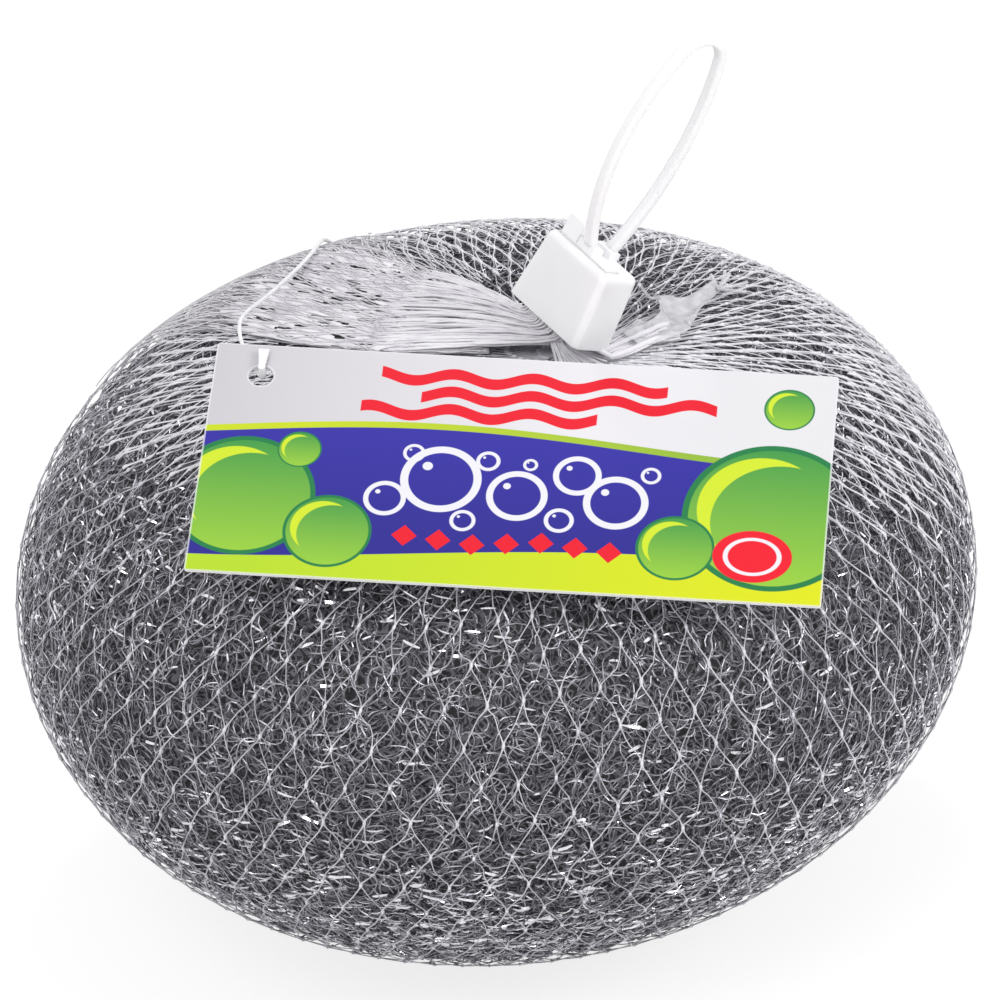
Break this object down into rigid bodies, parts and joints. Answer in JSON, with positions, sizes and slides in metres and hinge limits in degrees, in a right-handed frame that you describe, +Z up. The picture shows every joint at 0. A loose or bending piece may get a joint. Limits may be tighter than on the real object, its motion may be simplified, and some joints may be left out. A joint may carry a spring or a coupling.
{
  "type": "pot scrubber",
  "caption": "Round wire pot scrubber rolled into a bun in a white net bag, shut by a plastic clip with a hanging loop and carrying a card label on a nylon tag.",
  "frame": {"origin": "middle of the flat foot of the bag, on the surface it stands on", "axes": "+Z up, -Y towards the label side, +X to the label's right"},
  "size_m": [0.12, 0.1198, 0.1175],
  "materials": {
    "wire": "flat drawn wire, knitted, bright but uneven",
    "net": "thin white plastic filament",
    "clip": "moulded white plastic, slightly see-through",
    "card": "printed coated card",
    "tag": "clear moulded nylon"
  },
  "bodies": {
    "bun": {"wire_scrubber": "wire", "net_bag": "net", "net_base_seal": "net", "net_folds": "net", "net_neck": "net"},
    "clip": {"clip_housing": "clip", "clip_plug": "clip", "hanging_loop": "clip", "net_bunch": "net", "net_tail": "net", "net_end_weld": "net"},
    "tag": {"tag_head": "tag", "tag_filament": "tag", "tag_bar": "tag"},
    "label": {"label_card": "card"}
  },
  "joints": [
    {"name": "clip_tilt", "type": "hinge", "parent": "bun", "child": "clip", "pos_m": [0.00984, -0.01379, 0.08157], "axis": [0.5444, -0.7812, -0.3056], "range_deg": [0, 45]},
    {"name": "tag_lift", "type": "hinge", "parent": "bun", "child": "tag", "pos_m": [-0.01572, 0.03224, 0.0736], "axis": [-0.9392, 0.2303, -0.2547], "range_deg": [0, 60]},
    {"name": "label_swing", "type": "hinge", "parent": "tag", "child": "label", "pos_m": [-0.02543, -0.02256, 0.08329], "axis": [0.0209, -0.4609, 0.8872], "range_deg": [-75, 3]}
  ]
}
